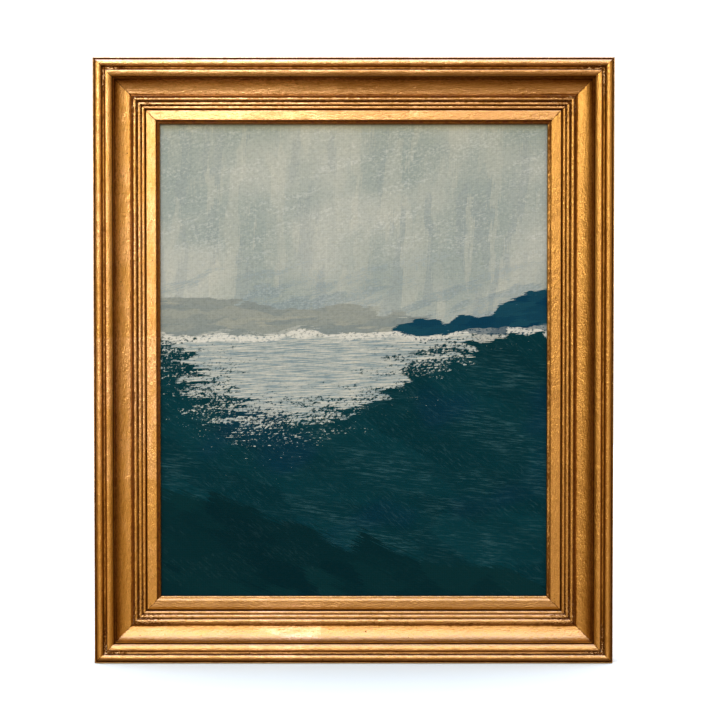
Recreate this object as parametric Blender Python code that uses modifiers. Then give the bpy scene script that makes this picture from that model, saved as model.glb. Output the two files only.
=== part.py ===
"""A painting on stretched canvas in a wide gilt frame, in metres, +Z up, the picture facing -Y.

The origin is on the flat back of the top rail, half way along it, where the frame lies against its wall.
"""

from math import asin, cos, degrees, radians, sin, tau

import bmesh
import bpy
from mathutils import Matrix, Vector

for old in list(bpy.data.objects):
    bpy.data.objects.remove(old, do_unlink=True)

# The stretched canvas
CANVAS_W = 0.500
CANVAS_H = 0.610
CANVAS_DEPTH = 0.017
CANVAS_T = 0.001
BACK_MARGIN = 0.025

# How the canvas sits in the frame
COVER_SIDE = 0.006
COVER_END = 0.007
REBATE_PLAY = 0.002
FIT = 0.0003

# The moulding across its face, from its outer edge inwards; the cove takes what is left
RAIL_W = 0.082
BACK_CHAMFER = 0.0015
FILLET_W = 0.0012
OUTER_QUIRK_W = 0.0014
BEAD_W = 0.0082
BAND_W = 0.0041
BAND_COVE_W = 0.0020
OVOLO_W = 0.0090
OVOLO_NOSE_W = 0.0018
COVE_QUIRK_W = 0.0010
COVE_FILLET_W = 0.0012
RISE_W = 0.0050
REED_W = (0.0036, 0.0054, 0.0043)
REED_CREST_W = (0.0025, 0.0018)
DEEP_QUIRK_W = 0.0009
BEVEL_W = 0.0012
FLAT_W = 0.0108
LIP_SLOPE_W = 0.0022
LIP_STEP_W = 0.0018
LIP_EDGE_W = 0.0015

# The moulding's heights: the lip over the rebate, then what each member stands above the flat band
LIP_T = 0.0034
LIP_EDGE_H = 0.0019
LIP_SLOPE_H = 0.0017
DEEP_QUIRK_H = -0.0035
REED_CREST_H = (0.0055, 0.0032, 0.0012)
REED_FOOT_H = (0.0026, 0.0006, -0.0012)
COVE_BOTTOM_H = 0.0022
COVE_DEPTH = 0.0145
COVE_QUIRK_H = 0.0155
OVOLO_FOOT_H = 0.0190
OVOLO_H = 0.0227
BAND_H = 0.0180
BEAD_H = 0.0235
BEAD_RISE = 0.0024
OUTER_QUIRK_H = 0.0180
FILLET_H = 0.0195

# Where the moulding's curves stop, as angles on their ellipses: at 0 they would end upright
OVOLO_END = 38
REED_END = 30
COVE_END = 72

# The stretcher and its wedges
BAR_W = 0.038
BAR_BEVEL = 0.003
BAR_RIM = 0.006
BAR_ROUND = 0.0013
KEY_T = 0.0035
KEY_LENGTH = 0.032
KEY_IN = 0.012
KEY_TIP = 0.005
KEY_HEEL = 0.014
KEY_LAYER_GAP = 0.0010

# The steel fittings
POINT_W = 0.010
POINT_T = 0.0008
POINT_IN = 0.008
POINT_TIP = 0.0052
POINT_OUT = 0.011
POINT_CHAMFER = 0.0033
POINT_SHARE = 0.27
POINT_BACK = 0.0010
HANGER_W = 0.018
HANGER_L = 0.052
HANGER_T = 0.0015
HANGER_DROP = 0.150
KEYHOLE_R = 0.0045
KEYHOLE_SLOT_R = 0.0023
KEYHOLE_RUN = 0.012
NAIL_ROOM_SPARE = 0.003
NAIL_ROOM_DEPTH = 0.009
SCREW_EDGE = 0.006
SCREW_R = 0.0018
SCREW_HEAD_R = 0.0036
SCREW_LENGTH = 0.014
SCREW_ROOM = 0.00045

# What follows from them
SIGHT_W = CANVAS_W - 2 * COVER_SIDE
SIGHT_H = CANVAS_H - 2 * COVER_END
FRAME_W = SIGHT_W + 2 * RAIL_W
FRAME_H = SIGHT_H + 2 * RAIL_W
REBATE_W = max(COVER_SIDE, COVER_END) + REBATE_PLAY
BACK_W = RAIL_W - REBATE_W
CENTRE_Z = BACK_W / 2 - FRAME_H / 2
CANVAS_BACK = POINT_BACK + POINT_T + FIT
SHELF_H = CANVAS_BACK + CANVAS_DEPTH + FIT
FLAT_H = SHELF_H + LIP_T + LIP_EDGE_H + LIP_SLOPE_H
INSET = CANVAS_T + FIT
BAR_DEPTH = CANVAS_DEPTH - 2 * INSET
BAR_BACK = CANVAS_BACK + INSET

picture = bpy.data.collections.new("framed_painting")
cutters = bpy.data.collections.new("cutters")
bpy.context.scene.collection.children.link(picture)
bpy.context.scene.collection.children.link(cutters)


def finish(name, colour, roughness, metallic=0.0):
    """A plain material for one piece."""
    material = bpy.data.materials.new(name)
    material.use_nodes = True
    shader = material.node_tree.nodes["Principled BSDF"]
    shader.inputs["Base Color"].default_value = (*colour, 1.0)
    shader.inputs["Roughness"].default_value = roughness
    shader.inputs["Metallic"].default_value = metallic
    return material


GILDING = finish("gold_leaf", (0.62, 0.33, 0.08), 0.35, 0.9)
PAINT = finish("painted_canvas", (0.10, 0.20, 0.22), 0.7)
PINE = finish("pine", (0.66, 0.48, 0.30), 0.65)
BEECH = finish("beech", (0.56, 0.36, 0.20), 0.6)
STEEL = finish("zinc_plated_steel", (0.55, 0.56, 0.58), 0.35, 1.0)


def arc(centre_d, centre_h, reach_d, reach_h, start, end, steps):
    """Points along part of an ellipse, from one angle in degrees to another, both ends included."""
    turns = [radians(start + (end - start) * i / steps) for i in range(steps + 1)]
    return [(centre_d + reach_d * cos(t), centre_h + reach_h * sin(t)) for t in turns]


def fall(crest_d, crest_h, foot_d, foot_h, end, steps):
    """A round shoulder from a level crest down to its foot, on either side, stopped at an ellipse's angle."""
    reach_d = (foot_d - crest_d) / cos(radians(end))
    reach_h = (crest_h - foot_h) / (1 - sin(radians(end)))
    return arc(crest_d, crest_h - reach_h, reach_d, reach_h, 90, end, steps)


def moulding():
    """The gilt moulding's section: distance in from the outer edge, and height above the back."""
    points = [(BACK_CHAMFER, 0.0), (0.0, BACK_CHAMFER)]

    # Outer fillet, its top edge rounded, and the quirk behind it
    top = FLAT_H + FILLET_H
    points += arc(FILLET_W / 2, top - FILLET_W / 2, FILLET_W / 2, FILLET_W / 2, 180, 0, 6)
    d = FILLET_W + OUTER_QUIRK_W
    points += [(FILLET_W, FLAT_H + OUTER_QUIRK_H), (d, FLAT_H + OUTER_QUIRK_H)]

    # Broad outer bead, part of a circle, then the hollow band
    top = FLAT_H + BEAD_H
    bead_r = (BEAD_W**2 / 4 + BEAD_RISE**2) / (2 * BEAD_RISE)
    half_turn = degrees(asin(BEAD_W / 2 / bead_r))
    points += arc(d + BEAD_W / 2, top - bead_r, bead_r, bead_r, 90 + half_turn, 90 - half_turn, 16)
    d += BEAD_W
    foot = FLAT_H + BAND_H
    points += arc(d + BAND_COVE_W, top - BEAD_RISE, BAND_COVE_W, top - BEAD_RISE - foot, 200, 270, 5)
    d += BAND_W

    # Ovolo: a short steep nose outside, and a long round slope inwards
    top = FLAT_H + OVOLO_H
    points += arc(d + OVOLO_NOSE_W, foot, OVOLO_NOSE_W, top - foot, 180, 100, 5)
    points += fall(d + OVOLO_NOSE_W, top, d + OVOLO_W, FLAT_H + OVOLO_FOOT_H, OVOLO_END, 9)
    d += OVOLO_W

    # Quirk and fillet at the cove's edge, then the cove down to its nearly flat bottom
    points += [(d, FLAT_H + COVE_QUIRK_H), (d + COVE_QUIRK_W, FLAT_H + COVE_QUIRK_H)]
    cove_bottom = FLAT_H + COVE_BOTTOM_H
    cove_top = cove_bottom + COVE_DEPTH
    points += [(d + COVE_QUIRK_W, cove_top)]
    d += COVE_QUIRK_W + COVE_FILLET_W
    inner = (
        RISE_W + sum(REED_W) + DEEP_QUIRK_W + BEVEL_W + FLAT_W + LIP_SLOPE_W + LIP_STEP_W + LIP_EDGE_W
    )
    cove_w = RAIL_W - inner - d
    reach_d = cove_w / (1 - cos(radians(COVE_END)))
    reach_h = COVE_DEPTH / sin(radians(COVE_END))
    points += arc(d + reach_d, cove_top, reach_d, reach_h, 180, 180 + COVE_END, 18)
    d += cove_w

    # Three reeds, each lower than the last; the first rises from the cove's bottom
    crest = d + RISE_W
    rise = FLAT_H + REED_CREST_H[0] - cove_bottom
    points += arc(crest, cove_bottom, RISE_W, rise, 165, 100, 6)
    for i, width in enumerate(REED_W):
        top, foot = FLAT_H + REED_CREST_H[i], FLAT_H + REED_FOOT_H[i]
        if i == 0:
            foot_d = crest + width
        else:
            crest = foot_d + REED_CREST_W[i - 1]
            before = FLAT_H + REED_FOOT_H[i - 1]
            points += arc(crest, before, REED_CREST_W[i - 1], top - before, 165, 100, 4)
            foot_d += width
        points += fall(crest, top, foot_d, foot, REED_END, 5)
    d = foot_d

    # Deep quirk, bevel up to the flat band, and the stepped lip at the sight edge
    points += [(d, FLAT_H + DEEP_QUIRK_H), (d + DEEP_QUIRK_W, FLAT_H + DEEP_QUIRK_H)]
    d += DEEP_QUIRK_W
    points += arc(d + BEVEL_W, FLAT_H - BEVEL_W, BEVEL_W, BEVEL_W, 180, 90, 4)
    d += BEVEL_W + FLAT_W
    points += [(d, FLAT_H), (d + LIP_SLOPE_W, FLAT_H - LIP_SLOPE_H)]
    d += LIP_SLOPE_W + LIP_STEP_W
    points += [(d, FLAT_H - LIP_SLOPE_H)]
    points += arc(d, SHELF_H + LIP_T, LIP_EDGE_W, LIP_EDGE_H, 80, 0, 4)

    # Rebate shelf and the back
    return points + [(RAIL_W, SHELF_H), (BACK_W, SHELF_H), (BACK_W, 0.0)]


def stretcher_section():
    """A stretcher bar's section: its face falls away inwards, so that the cloth only bears on its rim."""
    front = BAR_BACK + BAR_DEPTH
    return [
        (0.0, BAR_BACK),
        (0.0, front - BAR_ROUND),
        (BAR_ROUND, front),
        (BAR_RIM, front),
        (BAR_W, front - BAR_BEVEL),
        (BAR_W, BAR_BACK),
    ]


def extruded(name, outline, thickness):
    """A closed mesh of a flat outline, half its thickness each way along local Z."""
    curve = bpy.data.curves.new(name, "CURVE")
    curve.dimensions = "2D"
    curve.fill_mode = "BOTH"
    curve.extrude = thickness / 2
    spline = curve.splines.new("POLY")
    spline.points.add(len(outline) - 1)
    for point, (x, y) in zip(spline.points, outline):
        point.co = (x, y, 0.0, 1.0)
    spline.use_cyclic_u = True
    flat = bpy.data.objects.new(name, curve)
    picture.objects.link(flat)
    evaluated = flat.evaluated_get(bpy.context.evaluated_depsgraph_get())
    mesh = bpy.data.meshes.new_from_object(evaluated)
    bpy.data.objects.remove(flat)
    bpy.data.curves.remove(curve)
    body = bmesh.new()
    body.from_mesh(mesh)
    bmesh.ops.remove_doubles(body, verts=body.verts, dist=0.000001)
    bmesh.ops.recalc_face_normals(body, faces=body.faces)
    body.to_mesh(mesh)
    body.free()
    return mesh


def add(name, mesh, material, place, collection=picture):
    """Puts a mesh in the scene as one named piece."""
    mesh.name = name
    mesh.materials.clear()
    if material:
        mesh.materials.append(material)
    piece = bpy.data.objects.new(name, mesh)
    collection.objects.link(piece)
    piece.matrix_world = place
    return piece


def cut(piece, name, mesh, place):
    """Cuts a hidden shape out of a piece."""
    cutter = add(name, mesh, None, place, cutters)
    cutter.hide_render = True
    cutter.display_type = "WIRE"
    boolean = piece.modifiers.new(name, "BOOLEAN")
    boolean.object = cutter
    boolean.solver = "EXACT"


def box(size):
    """A closed box mesh about its own centre."""
    mesh = bpy.data.meshes.new("box")
    body = bmesh.new()
    bmesh.ops.create_cube(body, size=1.0)
    bmesh.ops.scale(body, vec=size, verts=body.verts)
    body.to_mesh(mesh)
    body.free()
    return mesh


def turned(outline):
    """A closed round mesh about local Z, from an outline of radius and height."""
    mesh = bpy.data.meshes.new("turned")
    body = bmesh.new()
    corners = [body.verts.new((radius, 0.0, height)) for radius, height in outline]
    edges = [body.edges.new(pair) for pair in zip(corners, corners[1:])]
    bmesh.ops.spin(body, geom=corners + edges, axis=(0, 0, 1), angle=tau, steps=24)
    bmesh.ops.remove_doubles(body, verts=body.verts, dist=0.000001)
    bmesh.ops.recalc_face_normals(body, faces=body.faces)
    body.to_mesh(mesh)
    body.free()
    return mesh


def side(turn, reach):
    """The frame of one side of the picture: local X runs inwards from its edge, local Y to the front."""
    inwards = Matrix(((0, 0, -1, 0), (0, -1, 0, 0), (-1, 0, 0, 0), (0, 0, 0, 1)))
    about_centre = Matrix.Translation((0, 0, CENTRE_Z)) @ Matrix.Rotation(radians(turn), 4, "Y")
    return about_centre @ Matrix.Translation((0, 0, reach)) @ inwards


def mitred(name, outline, length, place, material):
    """A bar of one section, with both ends cut at 45 degrees a hair short of the next bar."""
    mesh = extruded(name, outline, 2 * length)
    body = bmesh.new()
    body.from_mesh(mesh)
    for end in (-1, 1):
        normal = Vector((1, 0, end)).normalized()
        at = Vector((0, 0, end * length / 2)) - normal * FIT / 2
        geometry = body.verts[:] + body.edges[:] + body.faces[:]
        bmesh.ops.bisect_plane(body, geom=geometry, plane_co=at, plane_no=normal, clear_outer=True)
        rim = [edge for edge in body.edges if edge.is_boundary]
        bmesh.ops.contextual_create(body, geom=rim)
    bmesh.ops.recalc_face_normals(body, faces=body.faces)
    body.to_mesh(mesh)
    body.free()
    mesh.shade_smooth()
    mesh.set_sharp_from_angle(angle=radians(28))
    return add(name, mesh, material, place)


# Each side's name, its turn about the picture's centre, its length and its reach from the centre
SIDES = (
    ("top", 0, CANVAS_W, CANVAS_H / 2),
    ("right", 90, CANVAS_H, CANVAS_W / 2),
    ("bottom", 180, CANVAS_W, CANVAS_H / 2),
    ("left", 270, CANVAS_H, CANVAS_W / 2),
)


def frame_rails():
    """The four gilt rails, mitred round the picture."""
    section = moulding()
    rails = {}
    for name, turn, _, _ in SIDES:
        upright = turn in (90, 270)
        length, reach = (FRAME_H, FRAME_W / 2) if upright else (FRAME_W, FRAME_H / 2)
        rails[name] = mitred("frame_rail_" + name, section, length, side(turn, reach), GILDING)
    return rails


def stretcher_bars():
    """The four pine bars that the canvas is pulled over."""
    section = stretcher_section()
    bars = {}
    for name, turn, length, reach in SIDES:
        place = side(turn, reach - INSET)
        bars[name] = mitred("stretcher_bar_" + name, section, length - 2 * INSET, place, PINE)
    return bars


def canvas():
    """The cloth: one thin shell over the front, the edges and a margin of the stretcher's back."""
    mesh = box((CANVAS_W, CANVAS_DEPTH, CANVAS_H))
    body = bmesh.new()
    body.from_mesh(mesh)
    back = [face for face in body.faces if face.normal.y > 0.5]
    bmesh.ops.inset_region(body, faces=back, thickness=BACK_MARGIN, use_even_offset=True)
    bmesh.ops.delete(body, geom=back, context="FACES")
    body.to_mesh(mesh)
    body.free()
    middle = -(CANVAS_BACK + CANVAS_DEPTH / 2)
    cloth = add("canvas", mesh, PAINT, Matrix.Translation((0, middle, CENTRE_Z)))
    shell = cloth.modifiers.new("cloth", "SOLIDIFY")
    shell.thickness = CANVAS_T
    shell.offset = -1.0
    shell.use_even_offset = True


def stretcher_keys(bars):
    """Two wedges in each inner corner of the stretcher, the level bars' wedges in front of the upright ones'.

    Each lies along one bar and its tip is driven into a slot in the next bar.
    """
    middle = BAR_BACK + (BAR_DEPTH - BAR_BEVEL) / 2
    level = (KEY_T + KEY_LAYER_GAP) / 2
    wedge = [
        (-KEY_LENGTH + KEY_IN, FIT),
        (KEY_IN, FIT),
        (KEY_IN, FIT + KEY_TIP),
        (-KEY_LENGTH + KEY_IN, FIT + KEY_HEEL),
    ]
    slope = (KEY_HEEL - KEY_TIP) / KEY_LENGTH
    slot_depth = KEY_IN + FIT
    slot_width = KEY_TIP + slope * KEY_IN + 2 * FIT
    slot = [(-slot_depth, 0.0), (slot_depth, 0.0), (slot_depth, slot_width), (-slot_depth, slot_width)]
    for i, (along, turn, length, reach) in enumerate(SIDES):
        for end in (1, -1):
            into = SIDES[(i - end) % 4][0]
            layer = middle + (level if reach == CANVAS_H / 2 else -level)
            corner = Vector((BAR_W + INSET, layer, end * (length / 2 - INSET - BAR_W)))
            # Wedge outlines are drawn along the bar and then away from it, in the plane of the picture
            lie = Matrix(((0, 1, 0, 0), (0, 0, end, 0), (end, 0, 0, 0), (0, 0, 0, 1)))
            place = side(turn, reach) @ Matrix.Translation(corner) @ lie
            name = "_".join((along, into))
            add("stretcher_key_" + name, extruded("key", wedge, KEY_T), BEECH, place)
            hollow = extruded("slot", slot, KEY_T + 2 * FIT)
            cut(bars[into], "key_slot_" + name, hollow, place)


def framers_points(rails):
    """Flat steel points, driven into the rebate's wall behind the canvas, two in each rail."""
    half = POINT_W / 2
    narrow, shoulder = half - POINT_CHAMFER / 2, POINT_OUT - POINT_CHAMFER
    blade = [
        (-POINT_IN, 0.0),
        (POINT_TIP - POINT_IN, -half),
        (shoulder, -half),
        (POINT_OUT, -narrow),
        (POINT_OUT, narrow),
        (shoulder, half),
        (POINT_TIP - POINT_IN, half),
    ]
    depth = POINT_IN + FIT
    for name, turn, length, _ in SIDES:
        reach = (FRAME_W if turn in (90, 270) else FRAME_H) / 2
        for number, share in (("1", -POINT_SHARE), ("2", POINT_SHARE)):
            at = Vector((BACK_W, POINT_BACK + POINT_T / 2, share * length))
            lie = Matrix.Rotation(radians(-90), 4, "X")
            place = side(turn, reach) @ Matrix.Translation(at) @ lie
            add("framers_point_%s_%s" % (name, number), extruded("point", blade, POINT_T), STEEL, place)
            slit = box((2 * depth, POINT_W + 2 * FIT, POINT_T + 2 * FIT))
            cut(rails[name], "point_slit_%s_%s" % (name, number), slit, place)


def rounded_strip(straight, end_r):
    """The outline of an upright strip with half-round ends."""
    upper = arc(0, straight / 2, end_r, end_r, 0, 180, 12)
    return upper + arc(0, -straight / 2, end_r, end_r, 180, 360, 12)


def keyhole():
    """The outline of a keyhole: a round hole for a wall screw's head, and a narrow slot up from it."""
    low = -KEYHOLE_RUN / 2
    mouth = degrees(asin(KEYHOLE_SLOT_R / KEYHOLE_R))
    hole = arc(0, low, KEYHOLE_R, KEYHOLE_R, 90 + mouth, 450 - mouth, 18)
    return hole + arc(0, low + KEYHOLE_RUN, KEYHOLE_SLOT_R, KEYHOLE_SLOT_R, 0, 180, 8)


def keyhole_hangers(rails):
    """A keyhole plate let in flush near the top of each side rail, held by two countersunk screws."""
    head_h = SCREW_HEAD_R - SCREW_R
    shank_end = -head_h - SCREW_LENGTH
    screw = [(0, 0), (SCREW_HEAD_R, 0), (SCREW_R, -head_h), (SCREW_R, shank_end), (0, shank_end)]
    screw_room = [
        (0, HANGER_T),
        (SCREW_HEAD_R + SCREW_ROOM, HANGER_T),
        (SCREW_HEAD_R + SCREW_ROOM, 0),
        (SCREW_R + FIT, -head_h - SCREW_ROOM + FIT),
        (SCREW_R + FIT, shank_end - 2 * FIT),
        (0, shank_end - 2 * FIT),
    ]
    end_r = HANGER_W / 2
    strip = rounded_strip(HANGER_L - HANGER_W, end_r)
    recess = rounded_strip(HANGER_L - HANGER_W, end_r + FIT)
    recess_depth = HANGER_T + 2 * FIT
    nail_room = (2 * (KEYHOLE_R + NAIL_ROOM_SPARE / 2), 2 * NAIL_ROOM_DEPTH)
    nail_room += (KEYHOLE_RUN + 2 * (KEYHOLE_R + NAIL_ROOM_SPARE),)
    flat = Matrix.Rotation(radians(90), 4, "X")
    outwards = Matrix.Rotation(radians(-90), 4, "X")
    for name, sign in (("left", -1), ("right", 1)):
        rail = rails[name]
        x = sign * (FRAME_W - BACK_W) / 2
        centre = Vector((x, 0, CENTRE_Z + FRAME_H / 2 - HANGER_DROP))
        at_back = Matrix.Translation(centre)
        in_plate = Matrix.Translation(centre - Vector((0, FIT + HANGER_T / 2, 0))) @ flat
        plate = add("keyhole_hanger_" + name, extruded("plate", strip, HANGER_T), STEEL, in_plate)
        cut(plate, "keyhole_" + name, extruded("keyhole", keyhole(), 4 * HANGER_T), in_plate)
        cut(rail, "hanger_recess_" + name, extruded("recess", recess, 2 * recess_depth), at_back @ flat)
        cut(rail, "nail_room_" + name, box(nail_room), at_back)
        for where, up in (("upper", 1), ("lower", -1)):
            above = up * (HANGER_L / 2 - SCREW_EDGE)
            place = Matrix.Translation(centre + Vector((0, -FIT, above))) @ outwards
            add("hanger_screw_%s_%s" % (name, where), turned(screw), STEEL, place)
            cut(plate, "plate_hole_%s_%s" % (name, where), turned(screw_room), place)
            cut(rail, "screw_hole_%s_%s" % (name, where), turned(screw_room), place)


rails = frame_rails()
bars = stretcher_bars()
canvas()
stretcher_keys(bars)
framers_points(rails)
keyhole_hangers(rails)
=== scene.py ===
"""The looks of a framed painting: a stretched canvas in a wide gilt moulding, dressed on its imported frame.

Metres, +Z up, the picture facing -Y, as in the frame.
"""

from collections import namedtuple
from math import atan2, radians

import bmesh
import bpy
import numpy as np
from mathutils import Matrix, Vector


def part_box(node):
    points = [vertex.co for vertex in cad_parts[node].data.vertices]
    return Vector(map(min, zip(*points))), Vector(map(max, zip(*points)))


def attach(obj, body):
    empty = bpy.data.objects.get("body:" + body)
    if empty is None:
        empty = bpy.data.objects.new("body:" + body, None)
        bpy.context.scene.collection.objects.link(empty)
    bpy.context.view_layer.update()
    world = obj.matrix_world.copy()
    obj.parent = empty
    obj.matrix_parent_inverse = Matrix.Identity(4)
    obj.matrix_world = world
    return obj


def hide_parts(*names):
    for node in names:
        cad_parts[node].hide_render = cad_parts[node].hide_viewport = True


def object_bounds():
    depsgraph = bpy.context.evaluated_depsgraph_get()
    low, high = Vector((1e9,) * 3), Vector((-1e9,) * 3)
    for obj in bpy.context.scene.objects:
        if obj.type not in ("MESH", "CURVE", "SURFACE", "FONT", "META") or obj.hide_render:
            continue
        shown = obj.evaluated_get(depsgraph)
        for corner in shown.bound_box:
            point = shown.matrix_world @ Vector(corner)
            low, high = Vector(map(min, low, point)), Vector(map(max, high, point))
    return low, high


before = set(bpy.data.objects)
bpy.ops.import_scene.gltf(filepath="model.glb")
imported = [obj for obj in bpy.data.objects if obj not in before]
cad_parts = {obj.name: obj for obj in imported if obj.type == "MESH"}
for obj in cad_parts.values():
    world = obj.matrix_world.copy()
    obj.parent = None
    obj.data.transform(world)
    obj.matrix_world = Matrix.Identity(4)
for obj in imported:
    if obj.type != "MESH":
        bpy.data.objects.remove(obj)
cad_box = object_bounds()

# Four pine bars, mitred at the corners, carry the cloth. They are planed clear softwood, left bare, with the
# grain along each bar, and grimed a little by the air.

SIDES = ("top", "bottom", "left", "right")
LEVEL_SIDES = ("top", "bottom")
UPRIGHT = 90
PINE_PALE = (0.70, 0.52, 0.33)
PINE_DARK = (0.55, 0.36, 0.19)
GRIME = (0.20, 0.13, 0.08)


class Nodes:
    """A node tree in the making: each call adds a node and gives the socket that it ends in."""

    def __init__(self, tree):
        self.tree = tree

    def node(self, kind, inputs, output=0, **settings):
        made = self.tree.nodes.new("ShaderNode" + kind)
        for setting, value in settings.items():
            setattr(made, setting, value)
        for key, value in inputs.items():
            self.feed(made.inputs[key], value)
        return made if output is None else made.outputs[output]

    def feed(self, socket, value):
        if isinstance(value, bpy.types.NodeSocket):
            self.tree.links.new(value, socket)
        elif socket.type == "RGBA":
            socket.default_value = (*value, 1.0)
        else:
            socket.default_value = value

    def calc(self, operation, a, b=0.0, c=0.0):
        return self.node("Math", {0: a, 1: b, 2: c}, operation=operation)

    def ease(self, value, low, high):
        """0 at low and 1 at high, with a soft step between."""
        span = {"Value": value, "From Min": low, "From Max": high}
        return self.node("MapRange", span, interpolation_type="SMOOTHSTEP")

    def mix(self, share, a, b):
        return self.node("Mix", {0: share, 6: a, 7: b}, 2, data_type="RGBA")


class Finish(Nodes):
    """One material in the making, its patterns placed by the piece's own coordinates."""

    def __init__(self, name):
        self.material = bpy.data.materials.new(name)
        self.material.use_nodes = True
        super().__init__(self.material.node_tree)
        self.shader = self.tree.nodes["Principled BSDF"]
        self.place = self.node("TexCoord", {}, "Object")
        self.x, _, self.z = self.node("SeparateXYZ", {0: self.place}, None).outputs

    def stretched(self, length, width, turn=0.0, shift=(0.0, 0.0, 0.0)):
        """Coordinates for a pattern drawn out along X turned by an angle, in metres."""
        inputs = {"Vector": self.place, "Location": shift, "Scale": (length, width, width)}
        inputs["Rotation"] = (0.0, radians(-turn), 0.0)
        return self.node("Mapping", inputs, vector_type="TEXTURE")

    def mottle(self, at, detail=2.0, roughness=0.5, distortion=0.0):
        inputs = {"Vector": at, "Scale": 1.0, "Detail": detail, "Roughness": roughness}
        inputs["Distortion"] = distortion
        return self.node("TexNoise", inputs)

    def bump(self, height, distance, strength=1.0, below=None):
        inputs = {"Height": height, "Distance": distance, "Strength": strength}
        if below is not None:
            inputs["Normal"] = below
        return self.node("Bump", inputs)

    def done(self, colour, roughness, normal=None, metallic=0.0):
        self.feed(self.shader.inputs["Base Color"], colour)
        self.feed(self.shader.inputs["Roughness"], roughness)
        self.feed(self.shader.inputs["Metallic"], metallic)
        if normal is not None:
            self.feed(self.shader.inputs["Normal"], normal)
        return self.material


def bare_wood(name, turn, pale, dark):
    """Planed wood with its grain along X, turned by an angle about Y."""
    wood = Finish(name)
    rings = wood.mottle(wood.stretched(0.30, 0.006, turn), 3.0, 0.6, 0.6)
    fibres = wood.mottle(wood.stretched(0.05, 0.0005, turn), 2.0, 0.7)
    tone = wood.calc("ADD", wood.calc("MULTIPLY", rings, 0.75), wood.calc("MULTIPLY", fibres, 0.25))
    colour = wood.mix(wood.ease(tone, 0.35, 0.65), pale, dark)
    grime = wood.ease(wood.mottle(wood.stretched(0.06, 0.04, turn), 3.0), 0.45, 0.8)
    colour = wood.mix(wood.calc("MULTIPLY", grime, 0.25), colour, GRIME)
    return wood.done(colour, 0.62, wood.bump(fibres, 0.0002, 0.5))


def dress(node, material):
    """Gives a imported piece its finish."""
    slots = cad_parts[node].data.materials
    slots.clear()
    slots.append(material)


level_pine = bare_wood("pine_level", 0, PINE_PALE, PINE_DARK)
upright_pine = bare_wood("pine_upright", UPRIGHT, PINE_PALE, PINE_DARK)
for side in SIDES:
    dress("stretcher_bar_" + side, level_pine if side in LEVEL_SIDES else upright_pine)

# The canvas is one piece of linen, pulled over the bars' front and edges and folded on to their backs.
# Its face carries a lake under hills in thinned and scumbled oil paint; the rest is bare cloth.

CANVAS_LOW, CANVAS_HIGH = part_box("canvas")
CENTRE = (CANVAS_LOW + CANVAS_HIGH) / 2
CLOTH_SIZE = CANVAS_HIGH - CANVAS_LOW
HIDDEN_AT_SIDES = 0.006
HIDDEN_AT_ENDS = 0.007
SHOWN_W = CLOTH_SIZE.x - 2 * HIDDEN_AT_SIDES
SHOWN_H = CLOTH_SIZE.z - 2 * HIDDEN_AT_ENDS
PAINT_RELIEF = 0.00035
SKYLINE = CENTRE.z + 0.011
BRISTLE_W = 0.0011
SWAY = 0.022
SOFT_EDGE = 0.0012
LITTLE_SHINE = 0.02

# Places nearer than this are taken as one plane
HAIR = 0.0001


def started_from(node, name):
    """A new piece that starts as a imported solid, its loose triangles merged to whole faces, in edit mode."""
    piece = bpy.data.objects.new(name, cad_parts[node].data.copy())
    bpy.context.collection.objects.link(piece)
    bpy.ops.object.select_all(action="DESELECT")
    piece.select_set(True)
    bpy.context.view_layer.objects.active = piece
    piece.data.materials.clear()
    bpy.ops.mesh.customdata_custom_splitnormals_clear()
    bpy.ops.object.mode_set(mode="EDIT")
    bpy.ops.mesh.select_all(action="SELECT")
    bpy.ops.mesh.remove_doubles(threshold=0.00001)
    bpy.ops.mesh.dissolve_limited(angle_limit=radians(0.5))
    return piece


def pick(piece, wanted, kind="faces"):
    """Selects, in edit mode, the faces or edges that a test likes, and nothing else."""
    bpy.ops.mesh.select_mode(type={"faces": "FACE", "edges": "EDGE"}[kind])
    bpy.ops.mesh.select_all(action="DESELECT")
    body = bmesh.from_edit_mesh(piece.data)
    for part in getattr(body, kind):
        if wanted(part):
            part.select_set(True)
    bmesh.update_edit_mesh(piece.data)


def cut_finely():
    """Parts each selected edge in 202, in two calls, as one call makes at most 100 cuts."""
    bpy.ops.mesh.subdivide(number_cuts=100)
    bpy.ops.mesh.subdivide(number_cuts=1)


def relief(piece, name, size, depth, group, detail):
    """Presses a cloudy pattern of that size into a piece from the front: nothing ends prouder than it was."""
    pattern = bpy.data.textures.new(name, "CLOUDS")
    pattern.noise_scale = size
    pattern.noise_depth = detail
    pressed = piece.modifiers.new(name, "DISPLACE")
    pressed.texture = pattern
    pressed.direction = "Y"
    pressed.strength = -depth
    pressed.mid_level = 1.0
    pressed.vertex_group = group
    bpy.ops.object.modifier_apply(modifier=name)


Strokes = namedtuple("Strokes", "across up chance hairs")


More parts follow.
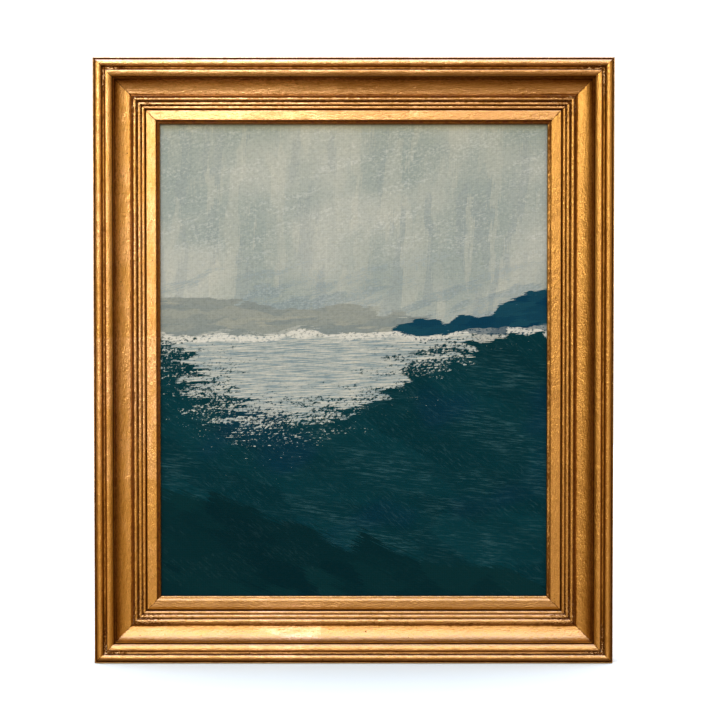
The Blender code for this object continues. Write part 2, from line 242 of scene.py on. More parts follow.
class OilPaint(Finish):
    """Thin oil paint, brushed and dragged over the cloth's tooth in strokes of several lengths and slants."""

    def __init__(self, name):
        super().__init__(name)
        self.tooth = self.mottle(self.stretched(0.0046, 0.0032, 20), 3.0, 0.68)
        self.cloud = self.mottle(self.stretched(0.16, 0.10, 20), 2.0, 0.5)
        self.upright = self.strokes(0.085, 0.011, 86, 0.0)
        self.slanting = self.strokes(0.060, 0.010, 16, 0.37)
        self.level = self.strokes(0.055, 0.0065, 2, 0.71)
        self.slope = self.strokes(0.034, 0.0100, 8, 0.53)
        self.broad = self.strokes(0.075, 0.022, -24, 0.19)
        thinly = self.mottle(self.stretched(0.075, 0.040, -12, (0.4, 0.0, 0.2)), 3.0, 0.55)
        scrub = self.ease(self.mottle(self.stretched(0.018, 0.0013, -6), 3.0, 0.7), 0.46, 0.70)
        self.scrubbed = self.calc("MULTIPLY", scrub, self.ease(thinly, 0.42, 0.66))
        scrub = self.ease(self.mottle(self.stretched(0.009, 0.0018, -38), 3.0, 0.7), 0.50, 0.72)
        self.cross_scrubbed = self.calc("MULTIPLY", scrub, self.ease(thinly, 0.54, 0.42))

    def strokes(self, length, width, turn, seed):
        """Strokes laid side by side: each one's middle, across and up, its own chance value, and the hairs."""
        lies = {"Location": (seed, 0.0, seed), "Rotation": (0.0, radians(-turn), 0.0)}
        lies["Scale"] = (length, width, width)
        drawn = self.stretched(length * 0.6, BRISTLE_W, turn)
        sway = self.node("TexNoise", {"Vector": self.place, "Scale": 22.0, "Detail": 2.0}, 1)
        ragged = self.node("TexNoise", {"Vector": drawn, "Scale": 1.0}, 1)
        moved = self.node("VectorMath", {0: sway, 1: (SWAY,) * 3, 2: self.place}, operation="MULTIPLY_ADD")
        fray = {0: ragged, 1: (width * 1.1,) * 3, 2: moved}
        moved = self.node("VectorMath", fray, operation="MULTIPLY_ADD")
        laid = self.node("Mapping", {"Vector": moved, **lies}, vector_type="TEXTURE")
        cells = self.node("TexVoronoi", {"Vector": laid, "Scale": 1.0}, None)
        middle = self.node("Mapping", {"Vector": cells.outputs["Position"], **lies}, vector_type="POINT")
        across, _, up = self.node("SeparateXYZ", {0: middle}, None).outputs
        chance = self.node("SeparateColor", {0: cells.outputs["Color"]})
        return Strokes(across, self.calc("SUBTRACT", up, SKYLINE), chance, self.mottle(drawn, 3.0, 0.7))

    def centred(self, pattern, size):
        return self.calc("MULTIPLY", self.calc("SUBTRACT", pattern, 0.5), size)

    def dragged(self, load, hairs, grip=0.7):
        """Cover of a dry stroke: bare at load 0, full at 1, broken by the brush's hairs and the tooth."""
        broken = self.calc("ADD", self.centred(hairs, grip), self.centred(self.tooth, 1.5))
        return self.ease(self.calc("ADD", load, broken), 0.42, 0.58)

    def laid_over(self, under, colour, cover, strength):
        return self.mix(self.calc("MULTIPLY", cover, strength), under, colour)

    def under_line(self, stroke, height, swing, wander, slope, seed):
        """1 for the strokes whose middle is under a wandering line."""
        at = self.calc("ADD", stroke.across, seed)
        line = self.node("TexNoise", {"W": at, "Scale": wander, "Detail": 1.5}, noise_dimensions="1D")
        tilted = self.calc("MULTIPLY_ADD", stroke.across, slope, height)
        crest = self.calc("ADD", tilted, self.centred(line, swing))
        return self.ease(self.calc("SUBTRACT", crest, stroke.up), -SOFT_EDGE, SOFT_EDGE)


def painted_sky(paint):
    """Thin warm greys brushed upright, then loose slanting scumbles that thicken towards the hills."""
    upright, slanting = paint.upright, paint.slanting
    sky = paint.mix(paint.ease(paint.cloud, 0.34, 0.66), (0.33, 0.39, 0.36), (0.44, 0.48, 0.43))
    sky = paint.laid_over(sky, (0.52, 0.54, 0.46), paint.ease(upright.chance, 0.55, 0.95), 0.30)
    sky = paint.laid_over(sky, (0.30, 0.35, 0.35), paint.ease(upright.chance, 0.30, 0.05), 0.28)
    sky = paint.laid_over(sky, (0.59, 0.60, 0.50), paint.dragged(0.20, upright.hairs, 1.5), 0.22)
    scumble = paint.dragged(paint.calc("MULTIPLY", slanting.chance, 0.45), slanting.hairs, 1.2)
    sky = paint.laid_over(sky, (0.56, 0.60, 0.56), scumble, 0.35)
    low = paint.ease(slanting.up, 0.19, 0.07)
    veil = paint.calc("MULTIPLY", low, paint.calc("MULTIPLY_ADD", slanting.chance, 0.8, 0.05))
    return paint.laid_over(sky, (0.20, 0.28, 0.31), paint.dragged(veil, slanting.hairs, 1.0), 0.42)


def painted_hills(paint, sky):
    """A far range in grey mist, low and soft, and a nearer one in blue with lighter strokes on its slopes."""
    level, slope = paint.level, paint.slope
    misty = paint.mix(level.chance, (0.235, 0.285, 0.275), (0.335, 0.365, 0.315))
    scene = paint.mix(paint.under_line(level, 0.066, 0.050, 5.0, -0.06, 0.31), sky, misty)
    hill = paint.mix(slope.chance, (0.004, 0.055, 0.100), (0.014, 0.085, 0.120))
    hill = paint.laid_over(hill, (0.20, 0.29, 0.31), paint.dragged(0.12, slope.hairs, 1.0), 0.5)
    return paint.mix(paint.under_line(slope, 0.026, 0.035, 6.5, 0.24, 0.93), scene, hill)


def painted_water(paint, scene):
    """Deep green-blue with navy passages, and the sky's light dragged over it along a broken path."""
    level, broad = paint.level, paint.broad
    deep = paint.mix(broad.chance, (0.0015, 0.0400, 0.0500), (0.0030, 0.0540, 0.0660))
    deep = paint.laid_over(deep, (0.0030, 0.0400, 0.0800), paint.ease(paint.cloud, 0.52, 0.68), 0.45)
    deep = paint.laid_over(deep, (0.075, 0.170, 0.185), paint.scrubbed, 0.55)
    deep = paint.laid_over(deep, (0.055, 0.130, 0.145), paint.cross_scrubbed, 0.40)
    deep = paint.laid_over(deep, (0.045, 0.125, 0.140), paint.dragged(0.02, broad.hairs, 1.3), 0.30)
    aside = paint.calc("MULTIPLY_ADD", level.up, -0.45, level.across)
    aside = paint.calc("ABSOLUTE", paint.calc("ADD", aside, 0.045))
    path = paint.calc("MULTIPLY_ADD", level.up, -0.9, aside)
    path = paint.calc("ADD", path, paint.centred(level.chance, 0.07))
    lit = paint.calc("MULTIPLY", paint.ease(path, 0.27, 0.03), paint.ease(level.up, -0.19, 0.02))
    pale = paint.mix(paint.ease(level.hairs, 0.35, 0.65), (0.24, 0.33, 0.35), (0.60, 0.62, 0.54))
    water = paint.laid_over(deep, pale, paint.dragged(lit, level.hairs), 0.9)
    scene = paint.mix(paint.under_line(level, 0.036, 0.006, 9.0, 0.0, 0.0), scene, water)
    shore_top = paint.under_line(level, 0.041, 0.010, 9.0, 0.0, 0.6)
    shore_foot = paint.under_line(level, 0.032, 0.012, 12.0, 0.0, 0.4)
    shore = paint.calc("SUBTRACT", shore_top, shore_foot)
    shore = paint.calc("MULTIPLY", shore, paint.dragged(0.62, level.hairs))
    return paint.laid_over(scene, (0.62, 0.64, 0.57), shore, 0.9)


def painted_bank(paint, scene):
    """The near bank, darkest, with a few dabs of growth."""
    bank = paint.mix(paint.broad.chance, (0.0015, 0.0280, 0.0350), (0.0040, 0.0420, 0.0470))
    bank = paint.laid_over(bank, (0.035, 0.070, 0.058), paint.dragged(0.0, paint.slope.hairs, 1.5), 0.45)
    bank = paint.laid_over(bank, (0.060, 0.130, 0.140), paint.cross_scrubbed, 0.18)
    return paint.mix(paint.under_line(paint.broad, -0.205, 0.080, 4.0, -0.20, 0.55), scene, bank)


def landscape():
    """A still lake under low hills in mist; the weave shows through the paint, and the strokes stand on it."""
    paint = OilPaint("lake_in_oils")
    scene = painted_hills(paint, painted_sky(paint))
    scene = painted_bank(paint, painted_water(paint, scene))
    weave = []
    for axis in ("X", "Z"):
        threads = {"Vector": paint.place, "Scale": 140.0, "Distortion": 0.6, "Detail": 1.0}
        weave.append(paint.node("TexWave", threads, 1, bands_direction=axis))
    scene = paint.laid_over(scene, (0.02, 0.04, 0.04), paint.ease(paint.tooth, 0.60, 0.30), 0.14)
    ridges = paint.calc("ADD", paint.upright.hairs, paint.level.hairs)
    normal = paint.bump(paint.calc("ADD", *weave), 0.00012, 0.35)
    normal = paint.bump(paint.calc("MULTIPLY_ADD", ridges, 0.5, paint.tooth), 0.0005, 0.45, normal)
    paint.shader.inputs["Specular IOR Level"].default_value = LITTLE_SHINE
    return paint.done(scene, paint.calc("MULTIPLY_ADD", paint.tooth, 0.25, 0.5), normal)


def bare_linen():
    """Unpainted cloth, on the folded edges, the margins and behind."""
    linen = Finish("primed_linen")
    slub = linen.mottle(linen.stretched(0.02, 0.0006), 2.0)
    slub_up = linen.mottle(linen.stretched(0.02, 0.0006, UPRIGHT), 2.0)
    weave = linen.calc("ADD", slub, slub_up)
    colour = linen.mix(linen.ease(weave, 0.75, 1.25), (0.44, 0.37, 0.26), (0.66, 0.58, 0.44))
    stain = linen.ease(linen.mottle(linen.stretched(0.08, 0.08), 3.0), 0.52, 0.8)
    colour = linen.mix(linen.calc("MULTIPLY", stain, 0.3), colour, (0.30, 0.22, 0.13))
    return linen.done(colour, 0.9, linen.bump(weave, 0.0004, 0.7))


cloth = started_from("canvas", "painted_canvas")
pick(cloth, lambda face: face.normal.y < -0.9 and face.calc_center_median().y < CANVAS_LOW.y + HAIR)
cut_finely()
bpy.ops.object.mode_set(mode="OBJECT")

# Only what shows in the frame's opening carries thick paint
thickly_painted = cloth.vertex_groups.new(name="painted")
for vertex in cloth.data.vertices:
    off = vertex.co - CENTRE
    in_opening = abs(off.x) < SHOWN_W / 2 and abs(off.z) < SHOWN_H / 2
    if in_opening and vertex.co.y < CANVAS_LOW.y + HAIR:
        thickly_painted.add([vertex.index], 1.0, "REPLACE")
relief(cloth, "thick_paint", size=0.006, depth=PAINT_RELIEF, group="painted", detail=3)
cloth.data.materials.append(landscape())
cloth.data.materials.append(bare_linen())
for face in cloth.data.polygons:
    on_face = face.normal.y < -0.5 and face.center.y < CANVAS_LOW.y + 2 * PAINT_RELIEF + HAIR
    face.material_index = 0 if on_face else 1
bpy.ops.object.shade_smooth_by_angle(angle=radians(40))
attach(cloth, "root")
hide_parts("canvas")

# Wire staples hold the cloth's margins to the backs of the bars: one model, copied along each side.

STAPLE_W = 0.0120
STAPLE_WIRE = 0.0015
STAPLE_PROUD = 0.0007
STAPLE_SUNK = 0.0020
STAPLE_EDGE = 0.00012
STAPLE_LEG_AT = STAPLE_W / 2 - STAPLE_PROUD
STAPLE_INSET = 0.0165
STAPLE_STEP = 0.0600
STAPLES = {"top": 7, "bottom": 7, "left": 9, "right": 9}


def plated_steel(name, pale, dark):
    steel = Finish(name)
    bloom = steel.mottle(steel.stretched(0.006, 0.006), 4.0, 0.6)
    colour = steel.mix(steel.ease(bloom, 0.35, 0.7), pale, dark)
    dull = steel.calc("MULTIPLY_ADD", bloom, 0.3, 0.22)
    return steel.done(colour, dull, steel.bump(bloom, 0.0001, 0.3), metallic=1.0)


bpy.ops.mesh.primitive_cube_add(size=1)
staple = bpy.context.object
staple.data.transform(Matrix.Diagonal((STAPLE_W, STAPLE_PROUD, STAPLE_WIRE, 1)))
bpy.ops.object.mode_set(mode="EDIT")
for end in (-1, 1):
    bpy.ops.mesh.select_all(action="SELECT")
    bpy.ops.mesh.bisect(plane_co=(end * STAPLE_LEG_AT, 0, 0), plane_no=(1, 0, 0))
    pick(staple, lambda face: face.normal.y < -0.9 and face.calc_center_median().x * end > STAPLE_LEG_AT)
    bpy.ops.mesh.extrude_region_move(TRANSFORM_OT_translate={"value": (0, -STAPLE_SUNK, 0)})
pick(staple, lambda edge: edge.calc_face_angle(0) > radians(60), "edges")
bpy.ops.mesh.bevel(offset=STAPLE_EDGE, segments=2)
bpy.ops.object.mode_set(mode="OBJECT")
staple.data.materials.append(plated_steel("staple_wire", (0.58, 0.58, 0.57), (0.30, 0.29, 0.28)))
bpy.ops.object.shade_smooth_by_angle(angle=radians(40))
for side, count in STAPLES.items():
    level = side in LEVEL_SIDES
    outwards = 1 if side in ("top", "right") else -1
    off_middle = outwards * ((CLOTH_SIZE.z if level else CLOTH_SIZE.x) / 2 - STAPLE_INSET)
    for number in range(count):
        along = (number - (count - 1) / 2) * STAPLE_STEP
        place = Vector((along, 0, off_middle)) if level else Vector((off_middle, 0, along))
        place += Vector((CENTRE.x, CANVAS_HIGH.y + STAPLE_PROUD * 0.4, CENTRE.z))
        copied = bpy.data.objects.new("canvas_staple_%s_%d" % (side, number + 1), staple.data.copy())
        bpy.context.collection.objects.link(copied)
        turned = Matrix.Rotation(radians(0 if level else UPRIGHT), 4, "Y")
        copied.data.transform(Matrix.Translation(place) @ turned)
        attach(copied, "root")
bpy.data.objects.remove(staple)

# Two beech wedges are tapped into slots in each corner of the stretcher, to tighten the cloth. They are split
# straight-grained and left raw.

BEECH_PALE = (0.60, 0.40, 0.25)
BEECH_DARK = (0.46, 0.28, 0.16)
level_beech = bare_wood("beech_level", 0, BEECH_PALE, BEECH_DARK)
upright_beech = bare_wood("beech_upright", UPRIGHT, BEECH_PALE, BEECH_DARK)
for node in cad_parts:
    if node.startswith("stretcher_key_"):
        lies_level = node.split("_")[2] in LEVEL_SIDES
        dress(node, level_beech if lies_level else upright_beech)

# The four rails are one moulding in soft wood, mitred and glued: coats of gesso, brown clay, gold leaf laid in
# squares, rubbed on the high members, and toned with a brown glaze that stays in the quirks.

FRAME_LOW, FRAME_HIGH = cad_box
HALF_W = (FRAME_HIGH.x - FRAME_LOW.x) / 2
HALF_H = (FRAME_HIGH.z - FRAME_LOW.z) / 2
RAIL_W = 0.082
SHELF_AT = -0.0194
OUTER_SIDE = 0.002
EDGE_ROUND = 0.00022
MITRE_GAP = 0.0003
ACROSS_STEP = 0.0015
LEAF = 0.0898

# How small a hollow a rag and a thumb reach into, and how far below them the glaze lies whole
RAG_R = 0.0016
THUMB_R = 0.0060
GLAZE_FULL = 0.0008
TONE_FULL = 0.0014
SAMPLE = 0.0001
PAST_ENDS = 0.008

# Where the glaze lies heavier or lighter, in from the outer edge, and by how much. Part of it is painted light
# and shade, set rail by rail: painted shade at the cove's start and on the lip's slope, and painted light that
# keeps the bottom rail bright.
COVE_START = 0.0249
# How far into the cove, and how strongly, its start is darkened: glaze pooled in the corner, and painted shade,
# narrower on the bottom rail, which faces the light
COVE_TONE_AND_SHADE_W = {"top": 0.0085, "bottom": 0.0062, "left": 0.0085, "right": 0.0085}
COVE_TONE_AND_SHADE = 1.1
COVE_GLAZE_AND_SHADE = 1.15
# Share of the cove's and the bands' glaze kept on each rail: less on the bottom rail, as painted light
GLAZE_SHARE_PAINTED_LIGHT = {"top": 1.0, "bottom": 0.35, "left": 1.0, "right": 1.0}
GLAZED_BANDS = (
    (0.0110, 0.0149, 0.28),
    (0.0464, 0.0494, 1.1),
    (0.0522, 0.0553, 0.7),
    (0.0576, 0.0600, 0.4),
)
EDGE_QUIRK = (0.0012, 0.0031)
EDGE_GLAZED = {"top": 1.5, "bottom": 0.5, "left": 0.6, "right": 0.3}
# The lip's slope, and how much painted shade it gets on each rail: most on the top rail, none on the bottom
LIP = (0.0774, 0.0814)
LIP_PAINTED_SHADE = {"top": 1.5, "bottom": 0.0, "left": 1.3, "right": 0.5}
# On the bottom rail, the flat's start is made darker, by this much
FLAT_START = (0.0645, 0.0680)
BOTTOM_FLAT_TONE = 0.9
# Painted light on the bottom rail: over the bead's inner side and the band beside it, glaze and tone are cut to
# these shares
BOTTOM_PAINTED_LIGHT = (0.0085, 0.0147)
PAINTED_LIGHT_GLAZE = 0.25
PAINTED_LIGHT_TONE = 0.3
BROKEN_BANDS = ((0.0104, 0.0160, 0.9), (0.0464, 0.0606, 0.32))

# Where one leaf of each rail ends, along it, the leaf's pale and deep tones, and a seed. The tones differ by
# rail as painted light and shade: the right rail's pale tone is darker, the left rail's deep tone lightest and
# the bottom rail's deep tone darkest.
LEAF_TONES_LIT_AND_SHADED = {
    "top": (-0.020, (0.96, 0.65, 0.36), (0.62, 0.38, 0.18), 0.3),
    "left": (0.030, (0.95, 0.63, 0.33), (0.73, 0.44, 0.14), 1.1),
    "right": (-0.010, (0.88, 0.58, 0.31), (0.65, 0.39, 0.13), 2.3),
    "bottom": (0.048, (0.97, 0.65, 0.40), (0.52, 0.32, 0.14), 3.7),
}
FINE_SPOTS = (0.60, 0.37, 0.10)
GRAIN_SPOTS = (0.42, 0.26, 0.05)
CLAY = (0.40, 0.20, 0.06)
# Glaze colours, which also lay the painted shade that the glaze and tone marks carry
THIN_GLAZE_AND_SHADE = (0.31, 0.135, 0.004)
GLAZE_AND_SHADE_DEEP = (0.070, 0.010, 0.0001)
GLAZE_AND_SHADE_BROWN = (0.16, 0.062, 0.004)
BARE_GESSO = (0.98, 0.84, 0.58)


def inwards(side, point):
    """How far a point is from a rail's outer edge."""
    if side in LEVEL_SIDES:
        return HALF_H - abs(point.z - CENTRE.z)
    return HALF_W - abs(point.x)


def rolled(height, radius, sign):
    """A section after a ball has rolled over it, filling hollows, or under it for sign -1, taking edges off."""
    reach = int(radius / SAMPLE)
    offsets = np.arange(-reach, reach + 1)
    ball = np.sqrt(radius**2 - (offsets * SAMPLE) ** 2)
    over = np.max([np.roll(sign * height, o) + b for o, b in zip(offsets, ball)], axis=0)
    return sign * np.min([np.roll(over, o) - b for o, b in zip(offsets, ball)], axis=0)


def surface_marks(side, piece):
    """For each point across the moulding: how deep it lies in glaze and painted shade (a quirk that no rag
    reaches, bands of glaze, and painted shade at the cove's start and on the lip's slope), how far it is
    darkened by tone and painted shade (a hollow that no thumb reaches, and the start of the cove), how far worn
    (an edge), and how broken its finish gets near the mitres."""
    places = [(inwards(side, vertex.co), -vertex.co.y) for vertex in piece.data.vertices]
    front = sorted(place for place in places if place[1] > -SHELF_AT + HAIR)
    across = np.arange(-PAST_ENDS, RAIL_W + PAST_ENDS, SAMPLE)
    height = np.interp(across, *zip(*front))
    height[across < 0] = 0.0
    glaze_and_shade = np.clip((rolled(height, RAG_R, 1) - height) / GLAZE_FULL, 0, 1)
    tone_and_shade = np.clip((rolled(height, THUMB_R, 1) - height) / TONE_FULL, 0, 1)
    worn = np.clip((height - rolled(height, RAG_R, -1)) / GLAZE_FULL, 0, 1)
    broken = np.zeros(len(across))

    def within(start, end):
        return (across > start) & (across < end)

    # The cove's start is darkened by pooled glaze and by painted shade
    in_cove = across > COVE_START
    into_cove = (across[in_cove] - COVE_START) / COVE_TONE_AND_SHADE_W[side]
    tone_and_shade[in_cove] += COVE_TONE_AND_SHADE * np.clip(1 - into_cove, 0, 1) ** 0.7
    glaze_and_shade[in_cove] += COVE_GLAZE_AND_SHADE * GLAZE_SHARE_PAINTED_LIGHT[side] ** 2 * np.clip(1 - 2 * into_cove, 0, 1)
    # Glaze in the band and in the reeds' valleys, less on the bottom rail as painted light
    for start, end, depth in GLAZED_BANDS:
        glaze_and_shade[within(start, end)] += depth * GLAZE_SHARE_PAINTED_LIGHT[side]
    glaze_and_shade[within(*EDGE_QUIRK)] += EDGE_GLAZED[side]
    # Painted shade on the lip's slope
    glaze_and_shade[within(*LIP)] += LIP_PAINTED_SHADE[side]
    # On the bottom rail the flat's start is made darker, and the bead's inner side and the band beside it keep
    # little glaze or tone, as painted light
    if side == "bottom":
        tone_and_shade[within(*FLAT_START)] += BOTTOM_FLAT_TONE
        glaze_and_shade[within(*BOTTOM_PAINTED_LIGHT)] *= PAINTED_LIGHT_GLAZE
        tone_and_shade[within(*BOTTOM_PAINTED_LIGHT)] *= PAINTED_LIGHT_TONE
    for mark in (glaze_and_shade, tone_and_shade):
        mark[across < 2 * HAIR] = 0.0
    for start, end, share in BROKEN_BANDS:
        broken[within(start, end)] = share
    at = [inward for inward, _ in places]
    marks = {"glaze_and_shade": glaze_and_shade, "tone_and_shade": tone_and_shade, "worn": worn, "broken": broken}
    return {name: np.interp(at, across, mark) for name, mark in marks.items()}


class Gilding(Finish):
    """The finish of one rail, with the patterns that its leaf, its wear and its glaze share."""

    def __init__(self, side, seed):
        super().__init__("gold_leaf_" + side)
        self.seed = seed
        self.from_middle = self.calc("SUBTRACT", self.z, CENTRE.z)
        self.along = self.x if side in LEVEL_SIDES else self.from_middle
        turn = 0 if side in LEVEL_SIDES else UPRIGHT
        shift = (seed, seed * 0.7, seed * 0.4)
        self.cloudy = self.mottle(self.stretched(0.040, 0.013, turn, shift), 4.0, 0.6)
        self.fine = self.mottle(self.stretched(0.0050, 0.0022, turn, shift), 4.0, 0.68)
        self.ragged = self.mottle(self.stretched(0.006, 0.006, turn, shift), 3.0)
        self.grain = self.mottle(self.stretched(0.0016, 0.0013, turn, shift), 2.0, 0.7)
        self.grit = self.mottle(self.stretched(0.0028, 0.0016, turn, shift), 3.0, 0.7)
        self.streaks = self.mottle(self.stretched(0.03, 0.0012, turn, shift), 2.0)
        off_mitre = self.calc("SUBTRACT", self.calc("ABSOLUTE", self.from_middle), HALF_H - HALF_W)
        off_mitre = self.calc("SUBTRACT", self.calc("ABSOLUTE", self.x), off_mitre)
        self.off_mitre = self.calc("ABSOLUTE", off_mitre)

    def mark(self, name):
        return self.node("Attribute", {}, 2, attribute_name=name)


def laid_leaf(gold, lap, pale, deep):
    """Squares of leaf, each a little other in tone, meeting at a ragged lap, and rubbed thin along the edges and
    in spots, so that clay shows. Painted shade darkens the leaf towards the right and towards the bottom."""
    end = gold.calc("MULTIPLY_ADD", gold.calc("SUBTRACT", gold.ragged, 0.5), 0.003, gold.along)
    count = gold.calc("DIVIDE", gold.calc("SUBTRACT", end, lap), LEAF)
    number = gold.calc("FLOOR", gold.calc("ADD", count, gold.seed * 40))
    own_tone = gold.node("TexWhiteNoise", {"W": number}, noise_dimensions="1D")
    tone = gold.calc("MULTIPLY_ADD", own_tone, 0.30, gold.calc("MULTIPLY", gold.cloudy, 1.1))
    # Painted shade: the leaf darkens towards the right and towards the bottom, as if lit from the upper left
    tone = gold.calc("MULTIPLY_ADD", gold.ease(gold.x, -0.08, 0.28), -0.56, tone)
    tone = gold.calc("MULTIPLY_ADD", gold.ease(gold.from_middle, 0.05, -0.30), -0.26, tone)
    colour = gold.mix(gold.ease(tone, 0.35, 0.95), deep, pale)
    colour = gold.mix(gold.calc("MULTIPLY", gold.ease(gold.fine, 0.45, 0.68), 0.45), colour, FINE_SPOTS)
    colour = gold.mix(gold.calc("MULTIPLY", gold.ease(gold.grain, 0.52, 0.70), 0.50), colour, GRAIN_SPOTS)
    rubbed = gold.calc("MULTIPLY_ADD", gold.mark("worn"), 0.16, gold.calc("MULTIPLY", gold.fine, 0.9))
    return gold.mix(gold.calc("MULTIPLY", gold.ease(rubbed, 0.64, 0.82), 0.35), colour, CLAY)


def glaze_over(gold, colour):
    """Brown glaze wiped thin over the hollows, left thick in the quirks and at the mitres, flicked on in specks,
    and near the mitres broken through to the gesso; the same browns lay the painted shade that the marks carry,
    at the cove's start and on the lip's slope. Gives the colour, then where the glaze and painted shade lie
    thick and where thin."""
    joint = gold.calc("MULTIPLY", gold.ragged, 1.1)
    joint = gold.calc("MULTIPLY", gold.ease(gold.off_mitre, 0.0018, 0.0003), joint)
    corner = gold.ease(gold.off_mitre, 0.085, 0.010)
    patchy = gold.calc("MULTIPLY_ADD", gold.fine, 1.7, gold.cloudy)
    # Thin glaze colour: tone in the hollows, and painted shade where the tone mark carries it
    thin = gold.calc("MULTIPLY", gold.mark("tone_and_shade"), gold.calc("MULTIPLY_ADD", corner, 0.35, 0.80))
    thin = gold.ease(gold.calc("ADD", thin, gold.calc("MULTIPLY", patchy, 0.6)), 0.80, 1.80)
    colour = gold.mix(gold.calc("MULTIPLY", thin, 0.80), colour, THIN_GLAZE_AND_SHADE)

    near = gold.calc("MULTIPLY", gold.mark("broken"), gold.ease(gold.off_mitre, 0.042, 0.008))
    blotched = gold.calc("MULTIPLY_ADD", gold.ease(gold.grit, 0.44, 0.56), 2.2, -0.9)
    blotched = gold.calc("MULTIPLY", near, blotched)
    # Thick glaze colour: glaze in the quirks and at the mitres, and painted shade on the cove's start and the
    # lip's slope
    thick = gold.calc("MULTIPLY_ADD", corner, 0.55, 0.90)
    thick = gold.calc("MULTIPLY_ADD", gold.mark("glaze_and_shade"), thick, joint)
    thick = gold.ease(gold.calc("ADD", thick, gold.calc("ADD", patchy, blotched)), 1.52, 2.15)

    dots = gold.node("TexVoronoi", {"Vector": gold.place, "Scale": 130.0}, None)
    rare = gold.calc("MULTIPLY_ADD", corner, 0.06, gold.node("SeparateColor", {0: dots.outputs["Color"]}))
    round_dot = gold.ease(dots.outputs["Distance"], 0.14, 0.07)
    speck = gold.calc("MULTIPLY", round_dot, gold.ease(rare, 0.940, 0.955))
    thick = gold.calc("MAXIMUM", thick, gold.calc("MULTIPLY", speck, 0.9))
    brown = gold.mix(gold.ease(gold.fine, 0.35, 0.65), GLAZE_AND_SHADE_DEEP, GLAZE_AND_SHADE_BROWN)
    colour = gold.mix(gold.calc("MULTIPLY", thick, 0.94), colour, brown)
    bared = gold.calc("MULTIPLY", near, gold.ease(gold.grit, 0.45, 0.38))
    return gold.mix(gold.calc("MULTIPLY", bared, 0.8), colour, BARE_GESSO), thick, thin


def gold_leaf(side, lap, pale, deep, seed):
    """Toned leaf on one rail, with painted light and shade in its colour; lap is where one of its leaves ends,
    along the rail.
    """
    gold = Gilding(side, seed)
    colour, thick, thin = glaze_over(gold, laid_leaf(gold, lap, pale, deep))
    metal = gold.calc("MULTIPLY_ADD", thick, -0.55, 1.0)
    covered = gold.calc("MAXIMUM", thick, gold.calc("MULTIPLY", thin, 0.6))
    dull = gold.calc("MULTIPLY_ADD", covered, 0.22, gold.calc("MULTIPLY_ADD", gold.fine, 0.18, 0.22))
    normal = gold.bump(gold.calc("MULTIPLY_ADD", gold.grain, 0.50, gold.fine), 0.0013, 0.58)
    normal = gold.bump(gold.streaks, 0.0003, 0.25, normal)
    gold.shader.inputs["Specular IOR Level"].default_value = LITTLE_SHINE
    return gold.done(colour, dull, normal, metal)


def gilt_rail(side, tones, wood):
    """One rail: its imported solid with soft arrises, glued mitres and a face that was never quite even."""
    rail = started_from("frame_rail_" + side, "gilt_rail_" + side)
    level = side in LEVEL_SIDES
    axis = 0 if level else 2

    def runs_along(edge):
        """A long edge of the moulding's face or outer side."""
        a, b = (vertex.co for vertex in edge.verts)
        is_inner = max(inwards(side, a), inwards(side, b)) > OUTER_SIDE
        at_back = is_inner and min(-a.y, -b.y) < -SHELF_AT + 2 * HAIR
        return abs((b - a)[axis]) > 0.9 * (b - a).length and not at_back

    def arris(edge):
        return runs_along(edge) and edge.verts[0].co.y < SHELF_AT and edge.calc_face_angle(0) > radians(24)

    for end in (-1, 1):
        pick(rail, lambda face: face.normal[axis] * end > 0.5)
        glued = [0.0, 0.0, 0.0]
        glued[axis] = end * MITRE_GAP / 2 * 2**0.5
        bpy.ops.transform.translate(value=glued)
    pick(rail, arris, "edges")
    bpy.ops.mesh.bevel(offset=EDGE_ROUND, segments=2, profile=0.6, clamp_overlap=True)

    outwards = Vector((0, 0, 1)) if level else Vector((1, 0, 0))
    outwards *= 1 if side in ("top", "right") else -1
    outer_edge = CENTRE + outwards * (HALF_H if level else HALF_W)
    for cut in np.arange(ACROSS_STEP, RAIL_W, ACROSS_STEP):
        pick(rail, lambda face: face.normal.y < -0.1)
        bpy.ops.mesh.bisect(plane_co=outer_edge - outwards * float(cut), plane_no=outwards)
    bpy.ops.mesh.select_all(action="SELECT")
    bpy.ops.mesh.remove_doubles(threshold=0.00004)
    pick(rail, runs_along, "edges")
    bpy.ops.mesh.subdivide(number_cuts=100)
    pick(rail, runs_along, "edges")
    bpy.ops.mesh.subdivide(number_cuts=1)
    bpy.ops.object.mode_set(mode="OBJECT")

    for name, values in surface_marks(side, rail).items():
        rail.data.attributes.new(name, "FLOAT", "POINT").data.foreach_set("value", values)
    gesso = rail.vertex_groups.new(name="gesso")
    for vertex in rail.data.vertices:
        if vertex.co.y < SHELF_AT - HAIR:
            gesso.add([vertex.index], 1.0, "REPLACE")
    relief(rail, "uneven_gesso", size=0.045, depth=0.0008, group="gesso", detail=1)
    relief(rail, "rubbed_gesso", size=0.007, depth=0.0005, group="gesso", detail=2)
    rail.data.materials.append(gold_leaf(side, *tones))
    rail.data.materials.append(wood)
    for face in rail.data.polygons:
        in_rebate = face.center.y > SHELF_AT - HAIR and inwards(side, face.center) > OUTER_SIDE
        face.material_index = 1 if face.normal.y > 0.5 or in_rebate else 0
    bpy.ops.object.shade_smooth_by_angle(angle=radians(35))
    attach(rail, "root")
    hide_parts("frame_rail_" + side)


BACK_PALE = (0.42, 0.27, 0.15)
BACK_DARK = (0.28, 0.16, 0.08)
level_back = bare_wood("rail_back_0", 0, BACK_PALE, BACK_DARK)
upright_back = bare_wood("rail_back_90", UPRIGHT, BACK_PALE, BACK_DARK)
for side, tones in LEAF_TONES_LIT_AND_SHADED.items():
    gilt_rail(side, tones, level_back if side in LEVEL_SIDES else upright_back)

# Small steel fittings hold the canvas in and the frame up: flat points behind the canvas, and a keyhole plate
# let into the back of each side rail with two screws. They are zinc plated, a little dulled.

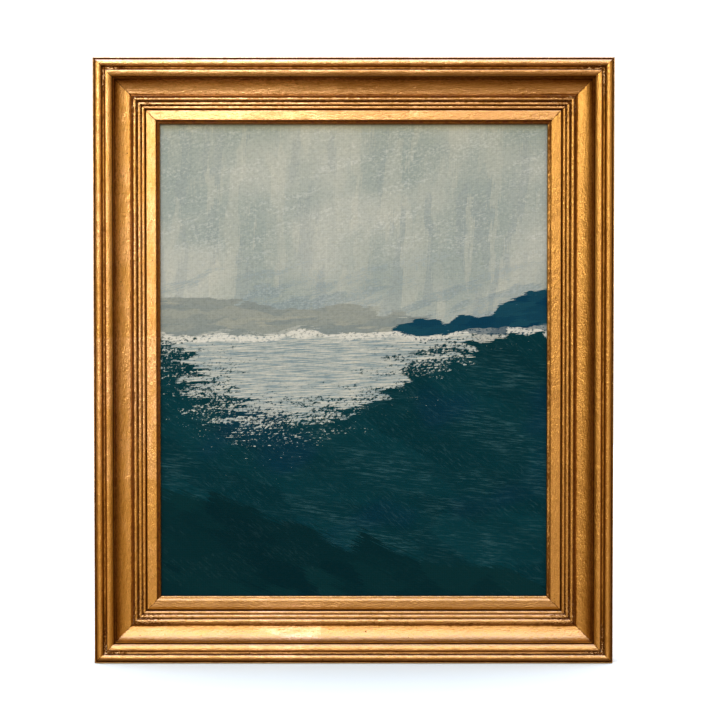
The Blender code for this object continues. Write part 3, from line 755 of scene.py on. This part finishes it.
zinc = plated_steel("dull_zinc", (0.62, 0.63, 0.64), (0.42, 0.42, 0.41))
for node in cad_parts:
    if node.startswith(("framers_point_", "keyhole_hanger_", "hanger_screw_")):
        dress(node, zinc)

# It stands on a plain pale floor, which throws no light back at it: the dim room's own light stands for that.

FLOOR_SIZE = 8.0
FLOOR_GAP = 0.0005
FLOOR_PALE = (0.655, 0.675, 0.530)
bpy.ops.mesh.primitive_plane_add(size=FLOOR_SIZE, location=(0, 0, FRAME_LOW.z - FLOOR_GAP))
floor = bpy.context.object
floor.name = "pale_floor"
floor.visible_glossy = False
floor.visible_diffuse = False
floor.data.materials.append(Finish("pale_floor").done(FLOOR_PALE, 0.9))

# The room is dim with a soft overhead light, cooler the higher it is, and a glow from before and behind. The
# camera itself sees plain white behind the picture.

WHITE = (1.0, 1.0, 1.0)
DIM_WALLS = (0.16, 0.073, 0.003)
ROOM_LIGHT = (
    ("Z", 0.05, 0.60, (0.90, 0.55, 0.12)),
    ("Z", 0.20, 0.80, (0.55, 1.15, 0.75)),
    ("Z", 0.40, 0.85, (0.10, 0.20, 2.60)),
    ("Y", -0.30, -0.95, (0.50, 0.44, 0.16)),
    ("Y", -0.70, -1.0, (0.00, 0.03, 0.42)),
    ("Y", 0.1, 1.0, (0.6, 0.65, 0.7)),
)
world = bpy.data.worlds.new("soft_studio")
bpy.context.scene.world = world
world.use_nodes = True
air = Nodes(world.node_tree)
looked = air.node("SeparateXYZ", {0: air.node("TexCoord", {}, "Generated")}, None).outputs
room = DIM_WALLS
for axis, start, end, colour in ROOM_LIGHT:
    grown = air.ease(looked[axis], start, end)
    room = air.node("VectorMath", {0: grown, 1: colour, 2: room}, operation="MULTIPLY_ADD")
seen = air.node("LightPath", {}, "Is Camera Ray")
air.feed(air.tree.nodes["Background"].inputs["Color"], air.mix(seen, room, WHITE))

# One lamp hangs high on the left, nearer than the camera, and points at about the frame's middle.
LAMP_AT = (-0.55, -2.0, 0.55)
LAMP_AIM = Vector((0, 0, -0.30))
LAMP_SIZE = 0.7
LAMP_WATTS = 14
bpy.ops.object.light_add(type="AREA", location=LAMP_AT)
lamp = bpy.context.object
lamp.name = "soft_lamp"
lamp.data.shape = "DISK"
lamp.data.size = LAMP_SIZE
lamp.data.energy = LAMP_WATTS
lamp.rotation_euler = (LAMP_AIM - lamp.location).to_track_quat("-Z", "Y").to_euler()

# The camera stands 3 m off, a little above the picture's middle, and looks slightly down at it.
MM_PER_PIXEL = 1.2640
IMAGE_PIXELS = 720
OBJECT_CENTRE_PIXEL = (353.7, 360.7)
CAMERA_RUN = 3.0
CAMERA_RISE = 0.10
SENSOR_MM = 36
image_w = IMAGE_PIXELS * MM_PER_PIXEL / 1000
aside = (IMAGE_PIXELS / 2 - OBJECT_CENTRE_PIXEL[0]) * MM_PER_PIXEL / 1000
above = (OBJECT_CENTRE_PIXEL[1] - IMAGE_PIXELS / 2) * MM_PER_PIXEL / 1000
stand = (aside, CANVAS_LOW.y - CAMERA_RUN, CENTRE.z + above + CAMERA_RISE)
bpy.ops.object.camera_add(location=stand, rotation=(radians(90) - atan2(CAMERA_RISE, CAMERA_RUN), 0, 0))
camera = bpy.context.object
camera.data.sensor_width = SENSOR_MM
camera.data.lens = SENSOR_MM * CAMERA_RUN / image_w
bpy.context.scene.camera = camera
bpy.context.scene.view_settings.view_transform = "Standard"
bpy.context.scene.view_settings.exposure = 0.22
bpy.context.scene.view_settings.gamma = 0.82
